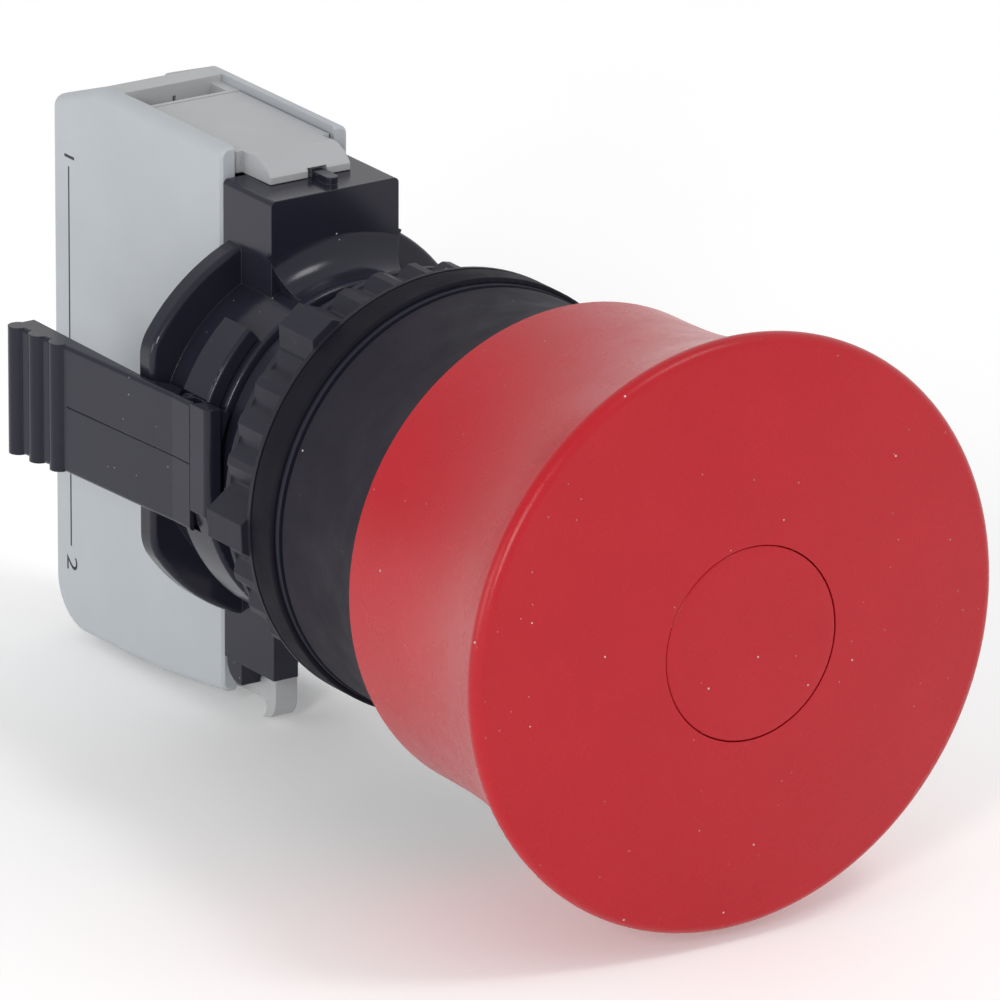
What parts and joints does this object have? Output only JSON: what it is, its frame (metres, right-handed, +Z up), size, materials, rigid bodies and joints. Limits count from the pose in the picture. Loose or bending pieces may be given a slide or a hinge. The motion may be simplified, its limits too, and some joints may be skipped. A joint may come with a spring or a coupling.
{
  "type": "emergency stop button",
  "caption": "Emergency stop push button: flared mushroom head, panel barrel with nut and gasket, locking lever adapter and a clip-on contact block.",
  "frame": {"origin": "on the button axis, on the rear face of the panel gasket, where the panel's front face sits", "axes": "+Y along the button axis into the panel, +X to the right of someone facing the head, +Z up"},
  "size_m": [0.04, 0.0765, 0.0407],
  "materials": {
    "cap_red": "satin",
    "disc_red": "satin",
    "screw_steel": "zinc plated",
    "stem_plastic": "natural",
    "spring_steel": "bright",
    "bezel_grey": "fine matte",
    "body_black": "matte",
    "seal_rubber": "matte",
    "washer_grey": "satin",
    "nut_black": "satin",
    "adapter_black": "satin",
    "ring_black": "satin",
    "block_grey": "fine matte",
    "cover_grey": "fine matte",
    "latch_grey": "fine matte",
    "plunger_plastic": "matte",
    "contact_brass": "bright",
    "tip_silver": "bright",
    "clamp_steel": "zinc plated"
  },
  "bodies": {
    "frame": {"return_spring": "spring_steel", "bezel": "bezel_grey", "barrel_body": "body_black", "latch_cover": "stem_plastic", "latch_spring_left": "spring_steel", "latch_spring_right": "spring_steel", "stem_seal": "seal_rubber", "panel_gasket": "seal_rubber", "adapter_body": "adapter_black", "locking_ring": "ring_black", "lever_pin": "spring_steel", "block_core": "block_grey", "block_cover_left": "cover_grey", "block_cover_right": "cover_grey", "block_latch_spring": "spring_steel", "plunger_spring": "spring_steel", "fixed_contact_upper": "contact_brass", "fixed_contact_lower": "contact_brass", "fixed_contact_tips": "tip_silver"},
    "head": {"mushroom_cap": "cap_red", "cap_disc": "disc_red", "cap_screw": "screw_steel", "plunger_stem": "stem_plastic", "stem_clip": "spring_steel"},
    "left_slide": {"latch_slide_left": "stem_plastic"},
    "right_slide": {"latch_slide_right": "stem_plastic"},
    "moving_contact": {"contact_plunger": "plunger_plastic", "contact_bridge": "contact_brass", "bridge_contact_tips": "tip_silver", "bridge_spring": "spring_steel"},
    "washer": {"clamp_washer": "washer_grey"},
    "nut": {"fixing_nut": "nut_black"},
    "lever": {"lock_lever": "ring_black"},
    "clip": {"block_latch": "latch_grey"},
    "upper_clamp": {"clamp_plate_upper": "clamp_steel"},
    "upper_screw": {"terminal_screw_upper": "screw_steel"},
    "lower_clamp": {"clamp_plate_lower": "clamp_steel"},
    "lower_screw": {"terminal_screw_lower": "screw_steel"}
  },
  "joints": [
    {"name": "head_press", "type": "slide", "parent": "frame", "child": "head", "axis": [0, 1, 0], "range_m": [0, 0.005], "deforming": ["return_spring"]},
    {"name": "left_slide_out", "type": "slide", "parent": "frame", "child": "left_slide", "axis": [-1, 0, 0], "range_m": [0, 0.0008], "deforming": ["latch_spring_left"]},
    {"name": "right_slide_out", "type": "slide", "parent": "frame", "child": "right_slide", "axis": [1, 0, 0], "range_m": [0, 0.0008], "deforming": ["latch_spring_right"]},
    {"name": "contact_open", "type": "slide", "parent": "frame", "child": "moving_contact", "axis": [0, 1, 0], "range_m": [0, 0.005], "deforming": ["plunger_spring"]},
    {"name": "nut_back_off", "type": "slide", "parent": "frame", "child": "washer", "axis": [0, 1, 0], "range_m": [0, 0.0035]},
    {"name": "nut_turn", "type": "hinge", "parent": "washer", "child": "nut", "pos_m": [0, 0, 0], "axis": [0, 1, 0], "range_deg": [0, 840]},
    {"name": "lever_swing", "type": "hinge", "parent": "frame", "child": "lever", "pos_m": [-0.01175, 0.0123, 0.0005], "axis": [0, 0, 1], "range_deg": [0, 20]},
    {"name": "clip_lift", "type": "hinge", "parent": "frame", "child": "clip", "pos_m": [0, 0.0275, 0.01775], "axis": [-1, 0, 0], "range_deg": [0, 12], "stiffness_Nm_per_rad": 0.02, "springref_deg": -5.73, "deforming": ["block_latch_spring"]},
    {"name": "upper_clamp_down", "type": "slide", "parent": "frame", "child": "upper_clamp", "axis": [0, -1, 0], "range_m": [0, 0.0018]},
    {"name": "upper_screw_turn", "type": "hinge", "parent": "upper_clamp", "child": "upper_screw", "pos_m": [0, 0.035, 0.0132], "axis": [0, -1, 0], "range_deg": [0, 1082]},
    {"name": "lower_clamp_down", "type": "slide", "parent": "frame", "child": "lower_clamp", "axis": [0, -1, 0], "range_m": [0, 0.0018]},
    {"name": "lower_screw_turn", "type": "hinge", "parent": "lower_clamp", "child": "lower_screw", "pos_m": [0, 0.035, -0.0132], "axis": [0, -1, 0], "range_deg": [0, 1082]}
  ],
  "couplings": [
    {"joint": "left_slide_out", "follows": "head_press", "ratio": 0.16},
    {"joint": "right_slide_out", "follows": "head_press", "ratio": 0.16},
    {"joint": "contact_open", "follows": "head_press", "ratio": 1},
    {"joint": "nut_turn", "follows": "nut_back_off", "rad_per_m": 4188.8},
    {"joint": "upper_screw_turn", "follows": "upper_clamp_down", "rad_per_m": 10472},
    {"joint": "lower_screw_turn", "follows": "lower_clamp_down", "rad_per_m": 10472}
  ]
}
